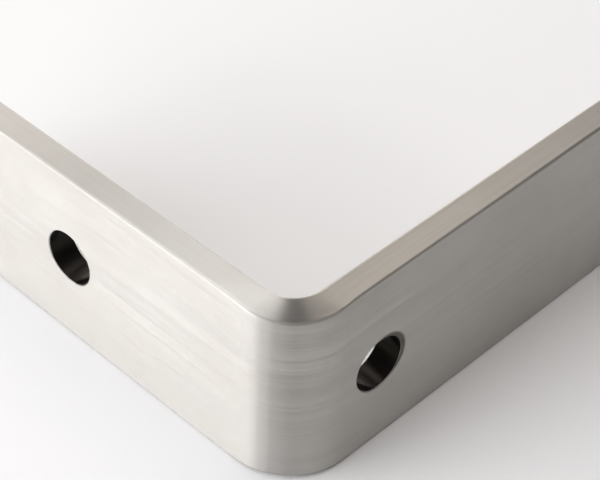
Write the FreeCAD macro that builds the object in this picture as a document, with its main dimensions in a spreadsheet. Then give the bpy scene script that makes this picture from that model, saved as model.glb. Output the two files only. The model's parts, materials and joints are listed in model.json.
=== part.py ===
# An L-shaped shelf bracket: one length of flat steel bar, bent cold to a right angle.
# Units are millimetres. The bracket stands on one long edge, with +Z across the bar's width.
# The wall arm runs along +X and the shelf arm along +Y, so the angle opens towards +X and +Y.
# The origin is under the middle of the bracket's outer box, at the level it stands on.

import FreeCAD, Part
import Sketcher
import math
import os

from FreeCAD import Placement, Rotation, Vector

# Driving dimensions: alias, value and what it measures
DRIVING_SIZES = (
    ("bar_width", 35.0, "flat bar, edge to edge"),
    ("bar_thickness", 5.0, "flat bar, face to face"),
    ("bend_inner_radius", 6.0, "inside of the bend"),
    ("wall_arm_length", 100.0, "shelf arm's outer face to the wall arm's end"),
    ("shelf_arm_length", 100.0, "wall arm's outer face to the shelf arm's end"),
    ("wall_hole_distance", 19.3, "shelf arm's outer face to the wall hole's axis"),
    ("wall_hole_drop", 0.7, "bar's middle line down to the wall hole's axis"),
    ("shelf_hole_distance", 51.0, "wall arm's outer face to the shelf hole's axis"),
    ("hole_diameter", 10.0, "both screw holes"),
    ("hole_rim_radius", 0.3, "rounding of the holes' rims"),
    ("edge_radius", 0.5, "rounding of the bar's edges and cut ends"),
    ("draw_in_depth", 1.0, "how far the bend pulls an edge in at its outer side"),
    ("draw_in_reach", 2.5, "how far that draw-in reaches past the bend's inner side"),
)

# Sketch geometry is named by number: these are its points and the sketch's own axes
START, END, CENTRE = range(1, 4)
UPRIGHT_AXIS, LEVEL_AXIS = range(-2, 0)

# The bend's bisector lies this far round from the wall arm, in degrees
BISECTOR_TURN = 45.0

# Two faces whose normals differ by more than this, in degrees, meet in a sharp edge
SHARP_ANGLE = 5.0

# Lengths closer than this are the same length
SAME_LENGTH = 1e-6

# A drilled hole takes away its own volume, give or take this share of it
VOLUME_SLACK = 1e-3

NODE = "shelf_bracket"


def make_sheet(doc):
    """Write the driving dimensions into a spreadsheet, one named cell each."""
    sheet = doc.addObject("Spreadsheet::Sheet", "sizes")
    for row, (alias, value, meaning) in enumerate(DRIVING_SIZES, start=1):
        sheet.set("A%d" % row, alias)
        sheet.set("B%d" % row, str(value))
        sheet.set("C%d" % row, meaning)
        sheet.setAlias("B%d" % row, alias)
    doc.recompute()
    return sheet


def add_sketch(body, name, role, turn=0.0):
    """Lay a sketch on one of the body's origin planes, turned about its upright axis."""
    plane = next(plane for plane in body.Origin.OriginFeatures if plane.Role == role)
    sketch = body.newObject("Sketcher::SketchObject", name)
    sketch.AttachmentSupport = [(plane, "")]
    sketch.MapMode = "FlatFace"
    sketch.AttachmentOffset = Placement(Vector(), Rotation(Vector(0, 1, 0), turn))
    return sketch


def line(start, end):
    return Part.LineSegment(Vector(*start, 0), Vector(*end, 0))


def arc(centre, radius, first_angle, last_angle):
    circle = Part.Circle(Vector(*centre, 0), Vector(0, 0, 1), radius)
    return Part.ArcOfCircle(circle, math.radians(first_angle), math.radians(last_angle))


def constrain(sketch, kind, *groups):
    """Add one geometric constraint of a kind for each group of geometry and points."""
    for group in groups:
        sketch.addConstraint(Sketcher.Constraint(kind, *group))


def dimension(sketch, expression, *arguments):
    """Add a dimension and bind it to the spreadsheet."""
    index = sketch.addConstraint(Sketcher.Constraint(*arguments))
    sketch.setExpression("Constraints[%d]" % index, expression)


def draw_bar_profile(sketch, sheet):
    """Draw the bent bar as its edge shows it, with the outer faces on the sketch's axes."""
    thickness = sheet.bar_thickness
    inner_radius = sheet.bend_inner_radius
    outer_radius = inner_radius + thickness
    wall_end = sheet.wall_arm_length
    shelf_end = sheet.shelf_arm_length
    bend_centre = (outer_radius, outer_radius)

    shelf_outer = sketch.addGeometry(line((0, shelf_end), (0, outer_radius)))
    bend_outer = sketch.addGeometry(arc(bend_centre, outer_radius, 180, 270))
    wall_outer = sketch.addGeometry(line((outer_radius, 0), (wall_end, 0)))
    wall_cut = sketch.addGeometry(line((wall_end, 0), (wall_end, thickness)))
    wall_inner = sketch.addGeometry(line((wall_end, thickness), (outer_radius, thickness)))
    bend_inner = sketch.addGeometry(arc(bend_centre, inner_radius, 180, 270))
    shelf_inner = sketch.addGeometry(line((thickness, outer_radius), (thickness, shelf_end)))
    shelf_cut = sketch.addGeometry(line((thickness, shelf_end), (0, shelf_end)))

    # The faces run smoothly into the bend, and both of its arcs share one centre
    constrain(
        sketch, "Tangent",
        (shelf_outer, END, bend_outer, START),
        (bend_outer, END, wall_outer, START),
        (wall_inner, END, bend_inner, END),
        (bend_inner, START, shelf_inner, START),
    )
    constrain(
        sketch, "Coincident",
        (wall_outer, END, wall_cut, START),
        (wall_cut, END, wall_inner, START),
        (shelf_inner, END, shelf_cut, START),
        (shelf_cut, END, shelf_outer, START),
        (bend_outer, CENTRE, bend_inner, CENTRE),
    )

    # Both ends are cut square
    constrain(sketch, "Vertical", (shelf_outer,), (shelf_inner,), (wall_cut,))
    constrain(sketch, "Horizontal", (wall_outer,), (wall_inner,), (shelf_cut,))
    constrain(
        sketch, "PointOnObject",
        (shelf_outer, START, UPRIGHT_AXIS),
        (wall_outer, END, LEVEL_AXIS),
    )

    dimension(sketch, "sizes.bend_inner_radius", "Radius", bend_inner, inner_radius)
    for alias, kind, first, second, length in (
        ("bar_thickness", "DistanceY", (wall_cut, START), (wall_cut, END), thickness),
        ("wall_arm_length", "DistanceX", (LEVEL_AXIS, START), (wall_outer, END), wall_end),
        ("shelf_arm_length", "DistanceY", (LEVEL_AXIS, START), (shelf_outer, START), shelf_end),
    ):
        dimension(sketch, "sizes." + alias, kind, *first, *second, length)


def draw_rolled_edge(sketch, sheet):
    """Draw the metal that the bend draws out of the upper edge, seen across the bisector.

    The outer fibres stretch most, so they narrow most: the edge leaves its level just inside
    the bend and rolls off in an arc, to its full depth at the bend's outer side.
    """
    inner_radius = sheet.bend_inner_radius
    outer_radius = inner_radius + sheet.bar_thickness
    depth = sheet.draw_in_depth
    edge_level = sheet.bar_width / 2
    outside = outer_radius * math.sqrt(2) - outer_radius
    inside = outer_radius * math.sqrt(2) - inner_radius + sheet.draw_in_reach
    clear = outside - depth
    roll_radius = ((inside - outside) ** 2 + depth ** 2) / (2 * depth)
    roll_centre = (inside, edge_level - roll_radius)
    roll_end_angle = 90 + math.degrees(math.asin((inside - clear) / roll_radius))
    roll_end_level = roll_centre[1] + roll_radius * math.sin(math.radians(roll_end_angle))
    above = edge_level + depth

    roll = sketch.addGeometry(arc(roll_centre, roll_radius, 90, roll_end_angle))
    outer_side = sketch.addGeometry(line((clear, roll_end_level), (clear, above)))
    top_side = sketch.addGeometry(line((clear, above), (inside, above)))
    inner_side = sketch.addGeometry(line((inside, above), (inside, edge_level)))
    full_depth = sketch.addGeometry(Part.Point(Vector(outside, edge_level - depth, 0)), True)

    constrain(
        sketch, "Coincident",
        (roll, END, outer_side, START),
        (outer_side, END, top_side, START),
        (top_side, END, inner_side, START),
        (inner_side, END, roll, START),
    )
    constrain(sketch, "Vertical", (outer_side,), (inner_side,), (roll, START, roll, CENTRE))
    constrain(sketch, "Horizontal", (top_side,))
    constrain(sketch, "PointOnObject", (full_depth, START, roll))

    outer_radius_from_sizes = "(sizes.bend_inner_radius + sizes.bar_thickness)"
    outside_from_sizes = outer_radius_from_sizes + " * (sqrt(2) - 1)"
    inside_from_sizes = outside_from_sizes + " + sizes.bar_thickness + sizes.draw_in_reach"
    clear_from_sizes = outside_from_sizes + " - sizes.draw_in_depth"
    level_from_sizes = "sizes.bar_width / 2"
    depth_from_sizes = level_from_sizes + " - sizes.draw_in_depth"
    above_from_sizes = level_from_sizes + " + sizes.draw_in_depth"
    for expression, kind, point, length in (
        (inside_from_sizes, "DistanceX", (roll, START), inside),
        (level_from_sizes, "DistanceY", (roll, START), edge_level),
        (outside_from_sizes, "DistanceX", (full_depth, START), outside),
        (depth_from_sizes, "DistanceY", (full_depth, START), edge_level - depth),
        (clear_from_sizes, "DistanceX", (outer_side, START), clear),
        (above_from_sizes, "DistanceY", (top_side, START), above),
    ):
        dimension(sketch, expression, kind, LEVEL_AXIS, START, *point, length)


def add_bar(body, sheet):
    """Bend the bar: its profile, as wide as the bar on both sides of the middle plane."""
    profile = add_sketch(body, "bar_profile", "XY_Plane")
    draw_bar_profile(profile, sheet)
    bar = body.newObject("PartDesign::Pad", "bent_bar")
    bar.Profile = profile
    bar.Midplane = True
    bar.setExpression("Length", "sizes.bar_width")
    return bar


def add_rolled_edges(body, sheet):
    """Take the drawn-in metal off the upper edge, and off the lower edge as its mirror."""
    section = add_sketch(body, "rolled_edge_section", "XZ_Plane", BISECTOR_TURN)
    draw_rolled_edge(section, sheet)
    upper = body.newObject("PartDesign::Pocket", "upper_rolled_edge")
    upper.Profile = section
    upper.Type = "ThroughAll"
    upper.Midplane = True
    lower = body.newObject("PartDesign::Mirrored", "both_rolled_edges")
    middle = next(plane for plane in body.Origin.OriginFeatures if plane.Role == "XY_Plane")
    lower.Originals = [upper]
    lower.MirrorPlane = (middle, [""])
    body.Tip = lower
    return lower


def sharp_edges(shape):
    """Name the edges where two faces meet at an angle."""
    names = []
    for number, edge in enumerate(shape.Edges, start=1):
        faces = shape.ancestorsOfType(edge, Part.Face)
        middle = edge.valueAt((edge.FirstParameter + edge.LastParameter) / 2)
        normals = [face.normalAt(*face.Surface.parameter(middle)) for face in faces]
        if math.degrees(normals[0].getAngle(normals[-1])) > SHARP_ANGLE:
            names.append("Edge%d" % number)
    return names


def rim_edges(shape, radius):
    """Name the circles of a given radius that go the whole way round."""
    names = []
    for number, edge in enumerate(shape.Edges, start=1):
        if edge.Degenerated or edge.Curve.TypeId != "Part::GeomCircle":
            continue
        if edge.isClosed() and abs(edge.Curve.Radius - radius) < SAME_LENGTH:
            names.append("Edge%d" % number)
    return names


def round_edges(body, name, base, edges, alias):
    """Round the named edges of the base feature to a radius from the spreadsheet."""
    rounding = body.newObject("PartDesign::Fillet", name)
    rounding.Base = (base, edges)
    rounding.setExpression("Radius", "sizes." + alias)
    return rounding


def add_screw_hole(body, sheet, name, role, reversed_cut, distance_alias, drop_alias):
    """Drill a plain hole through one arm, on the bar's middle line or a drop below it."""
    distance = sheet.getPropertyByName(distance_alias)
    drop = sheet.getPropertyByName(drop_alias) if drop_alias else 0
    radius = sheet.hole_diameter / 2
    position = add_sketch(body, name + "_position", role)
    rim = position.addGeometry(
        Part.Circle(Vector(distance, -drop, 0), Vector(0, 0, 1), radius)
    )
    dimension(position, "sizes.hole_diameter", "Diameter", rim, sheet.hole_diameter)
    dimension(
        position, "sizes." + distance_alias, "DistanceX", LEVEL_AXIS, START, rim, CENTRE, distance
    )
    if drop_alias:
        dimension(
            position, "sizes." + drop_alias, "DistanceY", rim, CENTRE, LEVEL_AXIS, START, drop
        )
    else:
        constrain(position, "PointOnObject", (rim, CENTRE, LEVEL_AXIS))
    body.Document.recompute()
    hole = body.newObject("PartDesign::Hole", name)
    hole.Profile = position
    hole.ThreadType = "None"
    hole.DepthType = "ThroughAll"
    hole.Reversed = reversed_cut
    hole.setExpression("Diameter", "sizes.hole_diameter")
    return hole


def check_cut(before, after, least, most, name):
    """Stop if a feature took away less or more metal than it should."""
    removed = before.Shape.Volume - after.Shape.Volume
    if not least < removed < most:
        raise RuntimeError("%s took away %.3f mm3" % (name, removed))


def make_bracket(doc, sheet):
    """Build the bracket in the order it is made: bend, round the edges, drill, round the rims."""
    body = doc.addObject("PartDesign::Body", NODE)
    body.Label = NODE

    bar = add_bar(body, sheet)
    rolled = add_rolled_edges(body, sheet)
    doc.recompute()
    corner_area = (sheet.bend_inner_radius + sheet.bar_thickness) ** 2
    check_cut(bar, rolled, 0, 2 * corner_area * sheet.draw_in_depth, "the rolled edges")

    broken = round_edges(body, "broken_edges", rolled, sharp_edges(rolled.Shape), "edge_radius")
    doc.recompute()

    drilled = broken
    hole_volume = math.pi * (sheet.hole_diameter / 2) ** 2 * sheet.bar_thickness
    least_volume = hole_volume * (1 - VOLUME_SLACK)
    most_volume = hole_volume * (1 + VOLUME_SLACK)
    for name, role, reversed_cut, distance_alias, drop_alias in (
        ("wall_screw_hole", "XZ_Plane", False, "wall_hole_distance", "wall_hole_drop"),
        ("shelf_screw_hole", "YZ_Plane", True, "shelf_hole_distance", None),
    ):
        hole = add_screw_hole(
            body, sheet, name, role, reversed_cut, distance_alias, drop_alias
        )
        doc.recompute()
        check_cut(drilled, hole, least_volume, most_volume, name)
        drilled = hole

    rims = rim_edges(drilled.Shape, sheet.hole_diameter / 2)
    round_edges(body, "rounded_rims", drilled, rims, "hole_rim_radius")

    body.setExpression("Placement.Base.x", "-sizes.wall_arm_length / 2")
    body.setExpression("Placement.Base.y", "-sizes.shelf_arm_length / 2")
    body.setExpression("Placement.Base.z", "sizes.bar_width / 2")
    doc.recompute()
    return body


def check_document(doc):
    """Stop if any object failed to build or any shape is empty or unsound."""
    for item in doc.Objects:
        if "Invalid" in item.State or "Error" in item.State:
            raise RuntimeError("%s is in state %s" % (item.Label, item.State))
        if item.isDerivedFrom("PartDesign::Feature") or item.isDerivedFrom("PartDesign::Body"):
            if item.Shape.isNull() or not item.Shape.isValid():
                raise RuntimeError("%s has no sound shape" % item.Label)


def main():
    doc = FreeCAD.newDocument("shelf_bracket_model")
    sheet = make_sheet(doc)
    bracket = make_bracket(doc, sheet)
    check_document(doc)
    os.makedirs("parts", exist_ok=True)
    bracket.Shape.exportStep(os.path.join("parts", bracket.Label + ".step"))
    box = bracket.Shape.optimalBoundingBox(False)
    print("%s: %.1f mm3 in a box of %.2f x %.2f x %.2f mm"
          % (bracket.Label, bracket.Shape.Volume, box.XLength, box.YLength, box.ZLength))


main()
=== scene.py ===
# Dresses the L-shaped shelf bracket, a flat steel bar bent to a right angle, and lights it on a
# pale floor. Lengths are metres, in the frame of the CAD model: the bracket stands on one long
# edge, the wall arm runs along +X and the shelf arm along +Y.

import json
import math

import bpy
from bpy.props import FloatProperty, FloatVectorProperty, PointerProperty
from bpy.types import Operator, Panel, PropertyGroup
from mathutils import Matrix, Vector


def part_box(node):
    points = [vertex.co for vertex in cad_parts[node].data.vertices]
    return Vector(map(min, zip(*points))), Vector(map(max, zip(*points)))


bl_info = {
    "name": "Brushed Steel Shelf Bracket",
    "version": (1, 0, 0),
    "blender": (4, 5, 0),
    "location": "3D View > Sidebar > Bracket",
    "description": "Finishes a bent flat bar bracket in brushed steel and lights it on a pale floor",
    "category": "Object",
}

MM = 0.001
NODE = "shelf_bracket"
WALL_HOLE = "wall_screw_hole"
HOLES = (WALL_HOLE, "shelf_screw_hole")

UPRIGHT = (0, 0, 1)

# What lies within this of a hole's wall belongs to it. Both holes are drilled alike.
HAIR = 0.02 * MM

# The camera sensor's width in millimetres, and how near and how far the camera sees
SENSOR_WIDTH = 36
NEAREST, FURTHEST = 0.01, 20

# Name, azimuth from +X and elevation in degrees, width, height, brightness and colour. The
# strips hang either side of the camera's own plane, so the bend's edge shows the dark gap between
# them as a fan, as the brushing turns through it.
SOFT_BOXES = (
    ("side_lamp", 145, 16, 0.70, 0.45, 6.6, "FFFDFC"),
    ("side_lamp_rim", 171.5, 16, 0.25, 0.45, 5.9, "FFFCFC"),
    ("side_lamp_fade", 187, 16, 0.29, 0.45, 2.7, "FCFCFF"),
    ("side_lamp_top", 150, 40, 0.60, 0.36, 1.8, "F6F9FF"),
    ("shelf_arm_strip", 133.4, 80, 1.40, 0.12, 3.2, "FFFBFA"),
    ("shelf_arm_strip_edge", 133.4, 73, 1.40, 0.12, 4.1, "FFFEFC"),
    ("wall_arm_strip", -46.6, 75, 1.40, 0.12, 1.7, "FFF4E8"),
    ("wall_arm_strip_edge", -46.6, 66, 1.40, 0.17, 1.05, "FFF4EA"),
    ("wall_arm_lamp", -10, 60, 0.55, 0.42, 0.7, "FFF6EC"),
    ("far_lamp", 73, 38, 0.35, 0.40, 1.95, "FFF9F4"),
    ("far_low_lamp", 45, 14, 0.70, 0.36, 3.8, "FFF7EF"),
)

# A surface is a cut end where its normal lies this much along the bar
END_SHARE = 0.75

# A surface is the wall arm's outer face where its normal points this much against the axis of the
# wall hole, which runs into the angle
FACE_SHARE = 0.5

# A surface starts to be a filed edge, and is wholly one, where its normal's squared upward and
# level parts multiply to these. A slant of 45 degrees gives the most.
EDGE_START, EDGE_FULL = 0.1, 0.25

# Nearly all of a noise lies between these
NOISE_LOW, NOISE_HIGH = 0.3, 0.7

# How much of the grain is wide bands, and how far the grain changes the roughness either way
BAND_SHARE = 0.15
GRAIN_ROUGHNESS = 0.06

# Grain times clouds: under the first the steel is clear, and over the second it is all tarnish
CLEAR, TARNISHED = 0.12, 0.4

# The wide bands are this many times as long as the fine lines
BAND_LENGTHS = 3

# Turns the wide side of the reflection from along the tangent to across it
QUARTER_TURN = 0.25

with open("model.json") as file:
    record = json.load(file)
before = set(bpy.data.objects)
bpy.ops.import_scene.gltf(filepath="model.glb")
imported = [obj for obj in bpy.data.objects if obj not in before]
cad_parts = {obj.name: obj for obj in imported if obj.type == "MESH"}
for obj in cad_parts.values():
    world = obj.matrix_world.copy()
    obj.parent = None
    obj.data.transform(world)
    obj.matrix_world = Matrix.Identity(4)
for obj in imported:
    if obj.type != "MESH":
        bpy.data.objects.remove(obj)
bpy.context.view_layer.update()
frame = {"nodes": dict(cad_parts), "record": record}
NODE_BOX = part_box(NODE)


def linear(hex_colour):
    """Turn an sRGB hex colour into linear red, green and blue."""
    channels = [int(hex_colour[start : start + 2], 16) / 255 for start in (0, 2, 4)]
    return tuple(
        value / 12.92 if value <= 0.04045 else ((value + 0.055) / 1.055) ** 2.4
        for value in channels
    )


def mount(name):
    """Find one of the record's mounts by name."""
    return next(entry for entry in frame["record"]["mounts"] if entry["name"] == name)


class BarFinish(PropertyGroup):
    """What the bar's steel looks like"""

    steel_colour: FloatVectorProperty(
        name="Steel",
        description="Colour of the brushed steel, facing the light",
        subtype="COLOR", size=3, min=0, max=1, default=linear("C6C4C0"),
    )
    tarnish_colour: FloatVectorProperty(
        name="Tarnish",
        description="Colour of the duller clouds between the brush strokes",
        subtype="COLOR", size=3, min=0, max=1, default=linear("BEBBB6"),
    )
    # Painted shade: the holes' walls are coloured dark in place of the shade that falls inside them.
    bore_shade_colour: FloatVectorProperty(
        name="Drilled steel",
        description="Colour of the holes' walls, which cutting oil has left dark",
        subtype="COLOR", size=3, min=0, max=1, default=linear("2E2B28"),
    )
    # Painted shade: the next four settings colour a dark crescent round the wall hole's rim, in
    # place of the shade that falls on the rim.
    rim_shade_colour: FloatVectorProperty(
        name="Smear",
        description="Colour of the steel where oil has crept out of the wall hole",
        subtype="COLOR", size=3, min=0, max=1, default=linear("6A6661"),
    )
    rim_shade_offset: FloatVectorProperty(
        name="Smear offset",
        description="From the middle of the wall hole to the middle of the smear",
        subtype="XYZ", unit="LENGTH", size=3, default=(0.75 * MM, 0, 0.45 * MM),
    )
    rim_shade_radius: FloatProperty(
        name="Smear radius", description="Radius of the smear, which the hole mostly cuts away",
        unit="LENGTH", min=0, default=4.85 * MM,
    )
    rim_shade_softness: FloatProperty(
        name="Smear softness", description="Width over which the smear fades out",
        unit="LENGTH", min=0.00001, default=0.45 * MM,
    )
    bend_radius: FloatProperty(
        name="Bend radius",
        description="Outer radius of the bend, which the brush lines follow",
        unit="LENGTH", min=0.001, default=11 * MM,
    )
    line_spacing: FloatProperty(
        name="Line spacing",
        description="Distance between brush lines, coarser than real ones so that they show",
        unit="LENGTH", min=0.00005, default=0.3 * MM,
    )
    line_length: FloatProperty(
        name="Line length",
        description="Length of one brush line",
        unit="LENGTH", min=0.001, default=40 * MM,
    )
    line_depth: FloatProperty(
        name="Line depth",
        description="Depth of the brush lines",
        unit="LENGTH", min=0, default=0.004 * MM,
    )
    band_spacing: FloatProperty(
        name="Band spacing",
        description="Distance between the wider bands that the belt leaves",
        unit="LENGTH", min=0.0001, default=1.8 * MM,
    )
    ring_spacing: FloatProperty(
        name="Ring spacing",
        description="Distance between the rings that the drill leaves in a hole",
        unit="LENGTH", min=0.00005, default=0.3 * MM,
    )
    cloud_size: FloatProperty(
        name="Cloud size",
        description="Size of the faint clouds that handling leaves on bare steel",
        unit="LENGTH", min=0.001, default=14 * MM,
    )
    roughness: FloatProperty(
        name="Roughness", description="How far the steel spreads its reflections",
        subtype="FACTOR", min=0, max=1, default=0.37,
    )
    edge_dullness: FloatProperty(
        name="Edge dullness", description="How much rougher the filed long edges are",
        subtype="FACTOR", min=0, max=0.5, default=0.35,
    )
    anisotropy: FloatProperty(
        name="Brushing",
        description="How much further the steel spreads its reflections across the brush lines",
        subtype="FACTOR", min=0, max=1, default=1.0,
    )


class StudioSetup(PropertyGroup):
    """The paper, the light and the camera"""

    floor_colour: FloatVectorProperty(
        name="Floor",
        description="Colour of the paper that the bracket stands on",
        subtype="COLOR", size=3, min=0, max=1, default=linear("F3F4F6"),
    )
    fibre_spacing: FloatProperty(
        name="Fibre spacing",
        description="Distance between the paper's fibres, coarser than real ones so that they show",
        unit="LENGTH", min=0.0001, default=0.6 * MM,
    )
    fibre_height: FloatProperty(
        name="Fibre height", description="How far the paper's fibres stand up",
        unit="LENGTH", min=0, default=0.005 * MM,
    )
    floor_size: FloatProperty(
        name="Floor size", description="Side of the square of paper",
        unit="LENGTH", min=0.5, default=6.0,
    )
    room_light: FloatProperty(
        name="Room light", description="Brightness of the room round the lamps",
        min=0, default=0.15,
    )
    lamp_light: FloatProperty(
        name="Lamp light", description="Brightness of all the lamps together",
        subtype="FACTOR", min=0, soft_max=2, default=1.0,
    )
    lamp_distance: FloatProperty(
        name="Lamp distance", description="From the middle of the bracket to each lamp",
        unit="LENGTH", min=0.3, default=1.0,
    )
    view_azimuth: FloatProperty(
        name="View azimuth", description="Direction that the camera looks in, from +X",
        subtype="ANGLE", default=math.radians(43.4048),
    )
    view_elevation: FloatProperty(
        name="View elevation", description="How far down the camera looks",
        subtype="ANGLE", default=math.radians(41.8672),
    )
    view_roll: FloatProperty(
        name="View roll", description="How far the camera is tipped to its left",
        subtype="ANGLE", default=math.radians(1.907),
    )
    view_point: FloatVectorProperty(
        name="Camera place", description="Where the camera stands",
        subtype="XYZ", unit="LENGTH", size=3, default=(-0.188035, -0.181046, 0.225098),
    )
    lens: FloatProperty(
        name="Lens", description="Focal length in millimetres on a 36 mm wide sensor",
        min=10, default=113.26,
    )


def add(tree, kind, inputs, **settings):
    """Add a shader node with its settings, and fill its inputs, named or in order.

    An input takes a value, a socket, or a node, whose first result in use is linked.
    """
    node = tree.nodes.new("ShaderNode" + kind)
    for name, value in settings.items():
        setattr(node, name, value)
    named = inputs if isinstance(inputs, dict) else dict(enumerate(inputs))
    for name, value in named.items():
        if isinstance(value, bpy.types.Node):
            value = next(output for output in value.outputs if output.enabled)
        if isinstance(value, bpy.types.NodeSocket):
            tree.links.new(value, node.inputs[name])
        else:
            node.inputs[name].default_value = value
    return node


def empty_material(name):
    """Start a material, and give it and its node tree, still with no nodes."""
    material = bpy.data.materials.new(name)
    material.use_nodes = True
    material.node_tree.nodes.clear()
    return material, material.node_tree


def bar_directions(tree, place, bend_radius):
    """Follow the bar along its arms and round its bend.

    Gives a point's place on the bar, as its length along it, its distance out from the bend's
    centre and its height, and the direction that the bar runs in there.
    """
    lowest = NODE_BOX[0]
    bend_centre = (lowest.x + bend_radius, lowest.y + bend_radius, 0)

    # From a point to the bend's centre: what is over zero lies across the bar, and what is under
    # zero lies along an arm.
    to_centre = add(tree, "VectorMath", [bend_centre, place], operation="SUBTRACT")
    across = add(tree, "VectorMath", [to_centre, (0, 0, 0)], operation="MAXIMUM")
    along = add(tree, "VectorMath", [to_centre, (0, 0, 0)], operation="MINIMUM")
    across_x, across_y, _ = add(tree, "SeparateXYZ", [across]).outputs
    along_x, along_y, _ = add(tree, "SeparateXYZ", [along]).outputs

    turn = add(tree, "Math", [across_y, across_x], operation="ARCTAN2")
    round_bend = add(tree, "Math", [turn, bend_radius], operation="MULTIPLY")
    past_bend = add(tree, "Math", [along_y, along_x], operation="SUBTRACT")
    length = add(tree, "Math", [round_bend, past_bend], operation="ADD")
    outward = add(tree, "VectorMath", [across], operation="LENGTH")
    height = add(tree, "SeparateXYZ", [place]).outputs[2]
    bar_place = add(tree, "CombineXYZ", [length, outward, height])
    bar_runs = add(tree, "VectorMath", [across, UPRIGHT], operation="CROSS_PRODUCT")
    return bar_place, bar_runs


def round_axis(tree, place, middle, axis):
    """Find the way round an axis at a point, and how far from the axis the point is."""
    from_middle = add(tree, "VectorMath", [place, middle], operation="SUBTRACT")
    way = add(tree, "VectorMath", [from_middle, axis], operation="CROSS_PRODUCT")
    distance = add(tree, "VectorMath", [way], operation="LENGTH")
    return way, distance


def hole_directions(tree, place):
    """Find the way round the nearer hole, and whether a point is on that hole's wall."""
    ways, distances = [], []
    for name in HOLES:
        hole = mount(name)
        way, distance = round_axis(tree, place, hole["pos_m"], hole["axis"])
        ways.append(way)
        distances.append(distance)
    second_is_nearer = add(tree, "Math", distances[::-1], operation="LESS_THAN")
    way_round = add(
        tree, "Mix", {"Factor": second_is_nearer, "A": ways[0], "B": ways[1]}, data_type="VECTOR"
    )
    nearest = add(tree, "Math", distances, operation="MINIMUM")
    wall = mount(WALL_HOLE)["dims"]["r_mm"] * MM + HAIR
    in_hole = add(tree, "Math", [nearest, wall], operation="LESS_THAN")
    return way_round, in_hole


def painted_rim_shade(tree, finish, place, facing):
    """Find how much painted shade round the wall hole's rim covers a point of the outer face, from 0
    to 1.
    """
    hole = mount(WALL_HOLE)
    middle = Vector(hole["pos_m"]) + Vector(finish.rim_shade_offset)
    _, distance = round_axis(tree, place, middle, hole["axis"])
    rim_shade = add(
        tree, "MapRange",
        {
            "Value": distance, "From Min": finish.rim_shade_radius,
            "From Max": finish.rim_shade_radius + finish.rim_shade_softness,
            "To Min": 1.0, "To Max": 0.0,
        },
    )
    inward = add(tree, "VectorMath", [facing, hole["axis"]], operation="DOT_PRODUCT")
    on_face = add(tree, "Math", [inward, -FACE_SHARE], operation="LESS_THAN")
    return add(tree, "Math", [rim_shade, on_face], operation="MULTIPLY")


def cut_end(tree, facing, bar_runs):
    """Find whether a point is on a cut end, which looks along the bar."""
    bar_direction = add(tree, "VectorMath", [bar_runs], operation="NORMALIZE")
    along_bar = add(tree, "VectorMath", [facing, bar_direction], operation="DOT_PRODUCT")
    squareness = add(tree, "Math", [along_bar], operation="ABSOLUTE")
    return add(tree, "Math", [squareness, END_SHARE], operation="GREATER_THAN")


def filed_edge(tree, facing):
    """Find how far a point is on a filed long edge, which looks neither up nor sideways."""
    upward = add(tree, "SeparateXYZ", [facing]).outputs[2]
    levelness = add(tree, "Math", [upward, upward], operation="MULTIPLY")
    uprightness = add(tree, "Math", [1.0, levelness], operation="SUBTRACT")
    slant = add(tree, "Math", [levelness, uprightness], operation="MULTIPLY")
    return add(
        tree, "MapRange", {"Value": slant, "From Min": EDGE_START, "From Max": EDGE_FULL}
    )


def brush_lines(tree, finish, bar_place, bar_runs, on_end, round_hole, in_hole):
    """Draw belt lines along the bar and up its cut ends, and the drill's rings in its holes.

    Gives the way that the lines run in at a point, and the lines.
    """
    long, fine = 1 / finish.line_length, 1 / finish.line_spacing
    way = bar_runs
    line_place = add(tree, "VectorMath", [bar_place, (long, fine, fine)], operation="MULTIPLY")
    for where, other_way, stretch in (
        (on_end, UPRIGHT, (fine, fine, long)),
        (in_hole, round_hole, (0, 1 / finish.ring_spacing, 0)),
    ):
        way = add(tree, "Mix", {"Factor": where, "A": way, "B": other_way}, data_type="VECTOR")
        other_place = add(tree, "VectorMath", [bar_place, stretch], operation="MULTIPLY")
        line_place = add(
            tree, "Mix", {"Factor": where, "A": line_place, "B": other_place}, data_type="VECTOR"
        )
    lines = add(
        tree, "TexNoise", {"Vector": line_place, "Scale": 1.0, "Detail": 3.0, "Roughness": 0.65}
    )
    return way, lines


def belt_bands(tree, finish, bar_place):
    """Draw the wide bands that the belt leaves along the bar."""
    long, wide = 1 / (BAND_LENGTHS * finish.line_length), 1 / finish.band_spacing
    band_place = add(tree, "VectorMath", [bar_place, (long, wide, wide)], operation="MULTIPLY")
    return add(
        tree, "TexNoise", {"Vector": band_place, "Scale": 1.0, "Detail": 2.0, "Roughness": 0.5}
    )


def tarnished_colour(tree, finish, place, grain):
    """Colour the steel, clear where the grain and the clouds that handling leaves are faint."""
    clouds = add(
        tree, "TexNoise",
        {"Vector": place, "Scale": 1 / finish.cloud_size, "Detail": 3.0, "Roughness": 0.55},
    )
    clouded = add(tree, "Math", [grain, clouds], operation="MULTIPLY")
    dulled = add(tree, "MapRange", {"Value": clouded, "From Min": CLEAR, "From Max": TARNISHED})
    return add(
        tree, "Mix",
        {"Factor": dulled, "A": (*finish.steel_colour, 1), "B": (*finish.tarnish_colour, 1)},
        data_type="RGBA",
    )


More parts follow.
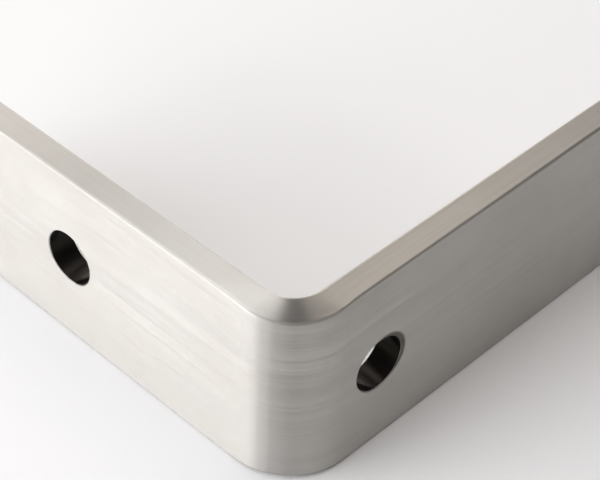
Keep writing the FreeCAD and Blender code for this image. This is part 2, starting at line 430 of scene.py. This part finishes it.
def brushed_steel(finish):
    """Flat mild steel bar, brushed along its length with a belt.

    The lines run along the bar and round its bend, so a lamp's reflection stays narrow along them
    and smears right across them. The cut ends are brushed up and down, and the filed long edges
    are duller. The drilled holes keep the rings that the drill left. Their walls are painted dark
    as painted shade, and so is a crescent round the wall hole's rim.
    """
    material, tree = empty_material("mild_steel_belt_brushed")
    place = add(tree, "TexCoord", []).outputs["Object"]
    facing = add(tree, "NewGeometry", []).outputs["Normal"]
    bar_place, bar_runs = bar_directions(tree, place, finish.bend_radius)
    round_hole, in_hole = hole_directions(tree, place)
    on_end = cut_end(tree, facing, bar_runs)
    on_edge = filed_edge(tree, facing)

    brushing, lines = brush_lines(
        tree, finish, bar_place, bar_runs, on_end, round_hole, in_hole
    )
    bands = belt_bands(tree, finish, bar_place)
    grain = add(tree, "Mix", {"Factor": BAND_SHARE, "A": lines, "B": bands})
    relief = add(
        tree, "Bump", {"Strength": 1.0, "Distance": finish.line_depth, "Height": lines}
    )

    face_roughness = add(
        tree, "MapRange",
        {
            "Value": grain, "From Min": NOISE_LOW, "From Max": NOISE_HIGH,
            "To Min": finish.roughness - GRAIN_ROUGHNESS,
            "To Max": finish.roughness + GRAIN_ROUGHNESS,
        },
    )
    roughness = add(
        tree, "Math", [on_edge, finish.edge_dullness, face_roughness], operation="MULTIPLY_ADD"
    )

    colour = tarnished_colour(tree, finish, place, grain)
    # Painted shade, in two marks: a dark crescent round the wall hole's rim, then the holes' walls.
    for where, dark in (
        (painted_rim_shade(tree, finish, place, facing), finish.rim_shade_colour),
        (in_hole, finish.bore_shade_colour),
    ):
        colour = add(
            tree, "Mix", {"Factor": where, "A": colour, "B": (*dark, 1)}, data_type="RGBA"
        )

    steel = add(
        tree, "BsdfPrincipled",
        {
            "Base Color": colour, "Metallic": 1.0, "Roughness": roughness,
            "Anisotropic": finish.anisotropy, "Anisotropic Rotation": QUARTER_TURN,
            "Tangent": brushing, "Normal": relief,
        },
    )
    add(tree, "OutputMaterial", {"Surface": steel})
    return material


def seamless_paper(setup):
    """Matt white paper, unrolled: an even pale ground that takes a soft shadow."""
    material, tree = empty_material("white_paper_matt")
    place = add(tree, "TexCoord", []).outputs["Object"]
    fibres = add(
        tree, "TexNoise", {"Vector": place, "Scale": 1 / setup.fibre_spacing, "Detail": 4.0}
    )
    relief = add(
        tree, "Bump", {"Strength": 1.0, "Distance": setup.fibre_height, "Height": fibres}
    )
    paper = add(
        tree, "BsdfPrincipled",
        {
            "Base Color": (*setup.floor_colour, 1), "Roughness": 0.9,
            "Specular IOR Level": 0.2, "Normal": relief,
        },
    )
    add(tree, "OutputMaterial", {"Surface": paper})
    return material


def direction(azimuth, elevation):
    """Unit vector at an azimuth from +X and an elevation over the floor, both in radians."""
    level = math.cos(elevation)
    return Vector((level * math.cos(azimuth), level * math.sin(azimuth), math.sin(elevation)))


def add_soft_box(context, setup, name, azimuth, elevation, width, height, brightness, colour):
    """Hang a soft box that faces the bracket and is as bright as it is asked to look."""
    lamp = bpy.data.lights.new(name, "AREA")
    lamp.shape = "RECTANGLE"
    lamp.size = width
    lamp.size_y = height
    lamp.energy = brightness * setup.lamp_light * math.pi * width * height
    lamp.color = linear(colour)
    box = bpy.data.objects.new(name, lamp)
    towards = direction(math.radians(azimuth), math.radians(elevation))
    box.location = towards * setup.lamp_distance
    box.rotation_mode = "QUATERNION"
    box.rotation_quaternion = (-towards).to_track_quat("-Z", "Y")
    box.visible_camera = False
    context.scene.collection.objects.link(box)


class BRACKET_OT_finish_bar(Operator):
    """Give the bent bar its brushed steel"""

    bl_idname = "bracket.finish_bar"
    bl_label = "Finish the Bar"

    def execute(self, context):
        bar = frame["nodes"][NODE]
        if not bar.material_slots:
            raise RuntimeError("the bar has no material slot")
        steel = brushed_steel(context.scene.bar_finish)
        for slot in bar.material_slots:
            slot.material = steel
        return {"FINISHED"}


class BRACKET_OT_lay_out_studio(Operator):
    """Lay the paper, hang the lamps and place the camera"""

    bl_idname = "bracket.lay_out_studio"
    bl_label = "Lay Out the Studio"

    def execute(self, context):
        setup = context.scene.studio_setup
        self.lay_floor(context, setup)
        self.hang_lamps(context, setup)
        self.place_camera(context, setup)
        context.scene.view_settings.view_transform = "Standard"
        return {"FINISHED"}

    def lay_floor(self, context, setup):
        half = setup.floor_size / 2
        corners = [(-half, -half, 0), (half, -half, 0), (half, half, 0), (-half, half, 0)]
        mesh = bpy.data.meshes.new("paper_floor")
        mesh.from_pydata(corners, [], [(0, 1, 2, 3)])
        mesh.materials.append(seamless_paper(setup))
        floor = bpy.data.objects.new("paper_floor", mesh)
        context.scene.collection.objects.link(floor)

    def hang_lamps(self, context, setup):
        room = bpy.data.worlds.new("studio_room")
        room.use_nodes = True
        room.node_tree.nodes.clear()
        light = add(
            room.node_tree, "Background",
            {"Color": (1, 1, 1, 1), "Strength": setup.room_light},
        )
        add(room.node_tree, "OutputWorld", {"Surface": light})
        context.scene.world = room

        for lamp in SOFT_BOXES:
            add_soft_box(context, setup, *lamp)

    def place_camera(self, context, setup):
        forward = direction(setup.view_azimuth, -setup.view_elevation)
        level = forward.cross(Vector(UPRIGHT)).normalized()
        upward = level.cross(forward)
        right = level * math.cos(setup.view_roll) + upward * math.sin(setup.view_roll)
        top = upward * math.cos(setup.view_roll) - level * math.sin(setup.view_roll)
        camera = bpy.data.cameras.new("camera")
        camera.sensor_width = SENSOR_WIDTH
        camera.lens = setup.lens
        camera.clip_start = NEAREST
        camera.clip_end = FURTHEST
        view = bpy.data.objects.new("camera", camera)
        axes = Matrix((right, top, -forward)).transposed()
        view.matrix_world = Matrix.Translation(setup.view_point) @ axes.to_4x4()
        context.scene.collection.objects.link(view)
        context.scene.camera = view


class VIEW3D_PT_shelf_bracket(Panel):
    """Lists the bracket's finish and its studio"""

    bl_idname = "VIEW3D_PT_shelf_bracket"
    bl_label = "Shelf Bracket"
    bl_space_type = "VIEW_3D"
    bl_region_type = "UI"
    bl_category = "Bracket"

    def draw(self, context):
        for operator, settings in (
            (BRACKET_OT_finish_bar, context.scene.bar_finish),
            (BRACKET_OT_lay_out_studio, context.scene.studio_setup),
        ):
            box = self.layout.box()
            for name in settings.__annotations__:
                box.prop(settings, name)
            box.operator(operator.bl_idname)


CLASSES = (
    BarFinish,
    StudioSetup,
    BRACKET_OT_finish_bar,
    BRACKET_OT_lay_out_studio,
    VIEW3D_PT_shelf_bracket,
)


def register():
    for item in CLASSES:
        bpy.utils.register_class(item)
    bpy.types.Scene.bar_finish = PointerProperty(type=BarFinish)
    bpy.types.Scene.studio_setup = PointerProperty(type=StudioSetup)


def unregister():
    del bpy.types.Scene.studio_setup
    del bpy.types.Scene.bar_finish
    for item in reversed(CLASSES):
        bpy.utils.unregister_class(item)


def main():
    register()
    bpy.ops.bracket.finish_bar()
    bpy.ops.bracket.lay_out_studio()


if __name__ == "__main__":
    main()
